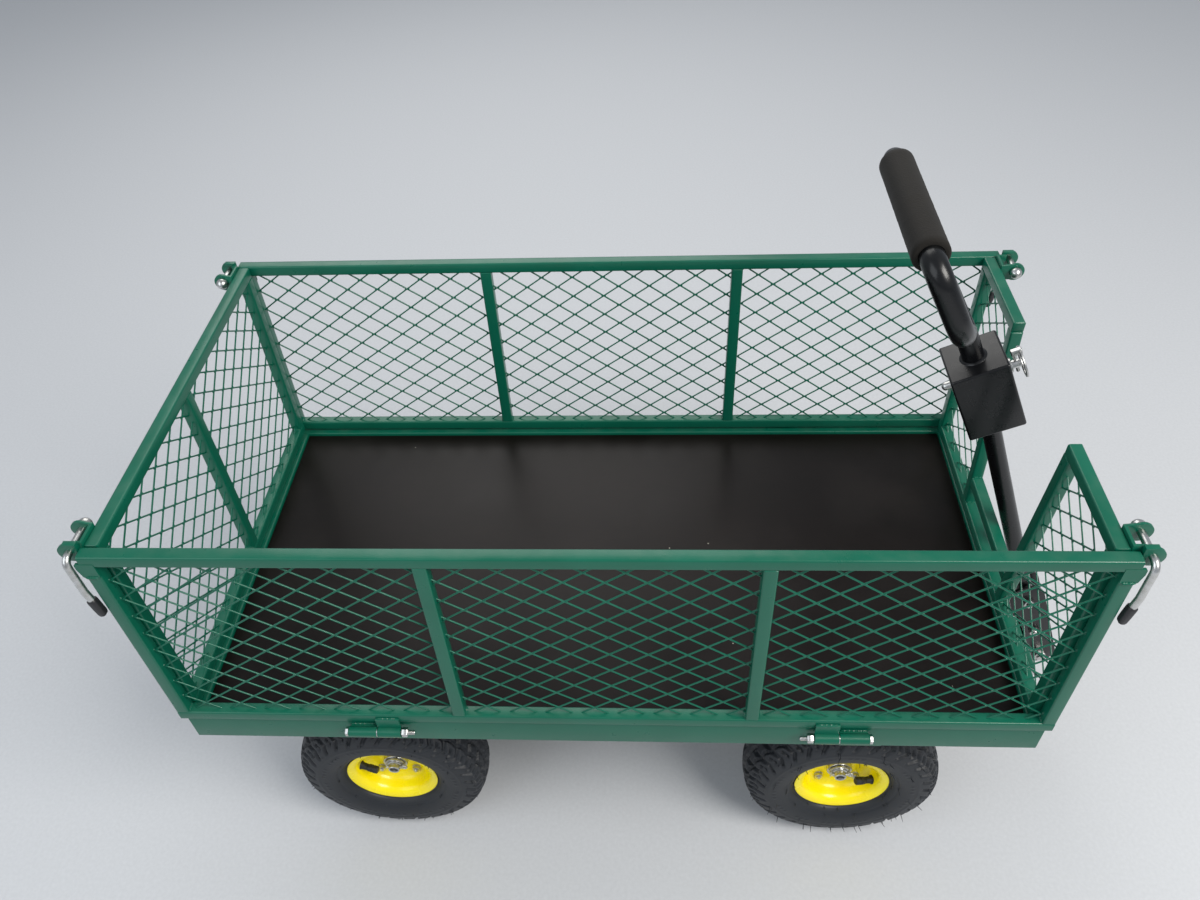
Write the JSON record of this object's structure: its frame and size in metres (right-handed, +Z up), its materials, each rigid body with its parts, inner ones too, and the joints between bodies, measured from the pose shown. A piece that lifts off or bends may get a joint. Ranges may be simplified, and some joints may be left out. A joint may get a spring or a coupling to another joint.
{
  "type": "garden cart",
  "caption": "Four-wheeled garden cart with folding mesh sides, a notched front gate, a filmed deck board and a tilting pull handle with a foam-covered loop.",
  "frame": {"origin": "centre of the cart's overall box, on the ground", "axes": "+X forward to the handle end, +Y to the cart's left, +Z up"},
  "size_m": [1.175, 0.549, 0.8883],
  "materials": {
    "green_powder_coat": "glossy green powder coat",
    "black_powder_coat": "satin black powder coat",
    "yellow_enamel": "glossy yellow paint",
    "zinc_plated_steel": "bright zinc plate",
    "tyre_rubber": "moulded black rubber",
    "tube_rubber": "smooth black rubber",
    "foam": "closed-cell foam",
    "black_vinyl": "dipped vinyl",
    "filmed_plywood": "smooth dark phenolic film"
  },
  "bodies": {
    "chassis": {"deck_frame": "green_powder_coat", "deck_cross_members": "green_powder_coat", "deck_board": "filmed_plywood", "frame_hinge_knuckles": "green_powder_coat", "panel_hinge_bolts": "zinc_plated_steel", "rear_axle_support": "green_powder_coat", "rear_axle_shaft": "zinc_plated_steel", "front_pivot_beam": "green_powder_coat", "kingpin": "zinc_plated_steel"},
    "right_side": {"right_panel_frame": "green_powder_coat", "right_panel_mesh": "green_powder_coat"},
    "left_side": {"left_panel_frame": "green_powder_coat", "left_panel_mesh": "green_powder_coat"},
    "rear_side": {"rear_panel_frame": "green_powder_coat", "rear_panel_mesh": "green_powder_coat", "rear_latch_brackets": "green_powder_coat"},
    "front_gate": {"front_gate_frame": "green_powder_coat", "front_gate_mesh": "green_powder_coat", "front_latch_brackets": "green_powder_coat"},
    "steering": {"steering_frame": "green_powder_coat", "front_axle_shaft": "zinc_plated_steel", "tongue": "black_powder_coat", "tongue_pivot_bolt": "zinc_plated_steel"},
    "handle": {"handle_shaft": "black_powder_coat", "handle_bracket": "black_powder_coat", "handle_bracket_bolts": "zinc_plated_steel", "hitch_head": "black_powder_coat", "hand_loop": "black_powder_coat", "foam_grip": "foam"},
    "pin": {"hitch_pin": "zinc_plated_steel"},
    "clip": {"lynch_clip": "zinc_plated_steel"},
    "rear_right_latch": {"rear_right_latch_lever": "zinc_plated_steel", "rear_right_latch_grip": "black_vinyl"},
    "rear_right_wheel": {"rear_right_tyre": "tyre_rubber", "rear_right_inner_tube": "tube_rubber", "rear_right_rim": "yellow_enamel", "rear_right_rim_bolts": "zinc_plated_steel", "rear_right_hub": "zinc_plated_steel"},
    "rear_left_latch": {"rear_left_latch_lever": "zinc_plated_steel", "rear_left_latch_grip": "black_vinyl"},
    "rear_left_wheel": {"rear_left_tyre": "tyre_rubber", "rear_left_inner_tube": "tube_rubber", "rear_left_rim": "yellow_enamel", "rear_left_rim_bolts": "zinc_plated_steel", "rear_left_hub": "zinc_plated_steel"},
    "front_right_latch": {"front_right_latch_lever": "zinc_plated_steel", "front_right_latch_grip": "black_vinyl"},
    "front_right_wheel": {"front_right_tyre": "tyre_rubber", "front_right_inner_tube": "tube_rubber", "front_right_rim": "yellow_enamel", "front_right_rim_bolts": "zinc_plated_steel", "front_right_hub": "zinc_plated_steel"},
    "front_left_latch": {"front_left_latch_lever": "zinc_plated_steel", "front_left_latch_grip": "black_vinyl"},
    "front_left_wheel": {"front_left_tyre": "tyre_rubber", "front_left_inner_tube": "tube_rubber", "front_left_rim": "yellow_enamel", "front_left_rim_bolts": "zinc_plated_steel", "front_left_hub": "zinc_plated_steel"}
  },
  "joints": [
    {"name": "right_side_fold", "type": "hinge", "parent": "chassis", "child": "right_side", "pos_m": [-0.0545, -0.268, 0.336], "axis": [1, 0, 0], "range_deg": [0, 175]},
    {"name": "left_side_fold", "type": "hinge", "parent": "chassis", "child": "left_side", "pos_m": [-0.0545, 0.268, 0.336], "axis": [-1, 0, 0], "range_deg": [0, 175]},
    {"name": "rear_side_fold", "type": "hinge", "parent": "chassis", "child": "rear_side", "pos_m": [-0.5685, 0, 0.336], "axis": [0, -1, 0], "range_deg": [0, 170]},
    {"name": "front_gate_fold", "type": "hinge", "parent": "chassis", "child": "front_gate", "pos_m": [0.4595, 0, 0.336], "axis": [0, 1, 0], "range_deg": [0, 1.5]},
    {"name": "rear_right_latch_turn", "type": "hinge", "parent": "rear_side", "child": "rear_right_latch", "pos_m": [-0.5755, -0.235, 0.648], "axis": [0, 1, 0], "range_deg": [0, 110]},
    {"name": "rear_left_latch_turn", "type": "hinge", "parent": "rear_side", "child": "rear_left_latch", "pos_m": [-0.5755, 0.235, 0.648], "axis": [0, 1, 0], "range_deg": [0, 110]},
    {"name": "front_right_latch_turn", "type": "hinge", "parent": "front_gate", "child": "front_right_latch", "pos_m": [0.4665, -0.235, 0.648], "axis": [0, -1, 0], "range_deg": [0, 110]},
    {"name": "front_left_latch_turn", "type": "hinge", "parent": "front_gate", "child": "front_left_latch", "pos_m": [0.4665, 0.235, 0.648], "axis": [0, -1, 0], "range_deg": [0, 110]},
    {"name": "steering_turn", "type": "hinge", "parent": "chassis", "child": "steering", "pos_m": [0.2535, 0, 0.268], "axis": [0, 0, 1], "range_deg": [-6, 6]},
    {"name": "rear_right_wheel_spin", "type": "hinge", "parent": "chassis", "child": "rear_right_wheel", "pos_m": [-0.3585, -0.19, 0.13], "axis": [0, 1, 0], "continuous": true},
    {"name": "rear_left_wheel_spin", "type": "hinge", "parent": "chassis", "child": "rear_left_wheel", "pos_m": [-0.3585, 0.19, 0.13], "axis": [0, 1, 0], "continuous": true},
    {"name": "front_right_wheel_spin", "type": "hinge", "parent": "steering", "child": "front_right_wheel", "pos_m": [0.2535, -0.19, 0.13], "axis": [0, 1, 0], "continuous": true},
    {"name": "front_left_wheel_spin", "type": "hinge", "parent": "steering", "child": "front_left_wheel", "pos_m": [0.2535, 0.19, 0.13], "axis": [0, 1, 0], "continuous": true},
    {"name": "handle_tilt", "type": "hinge", "parent": "steering", "child": "handle", "pos_m": [0.5645, 0, 0.145], "axis": [0, 1, 0], "range_deg": [0, 115]},
    {"name": "hitch_pin_pull", "type": "slide", "parent": "handle", "child": "pin", "axis": [0.907, 0, 0.421], "range_m": [0, 0.08]},
    {"name": "lynch_clip_pull", "type": "slide", "parent": "pin", "child": "clip", "axis": [-0.421, 0, 0.907], "range_m": [0, 0.026]}
  ]
}
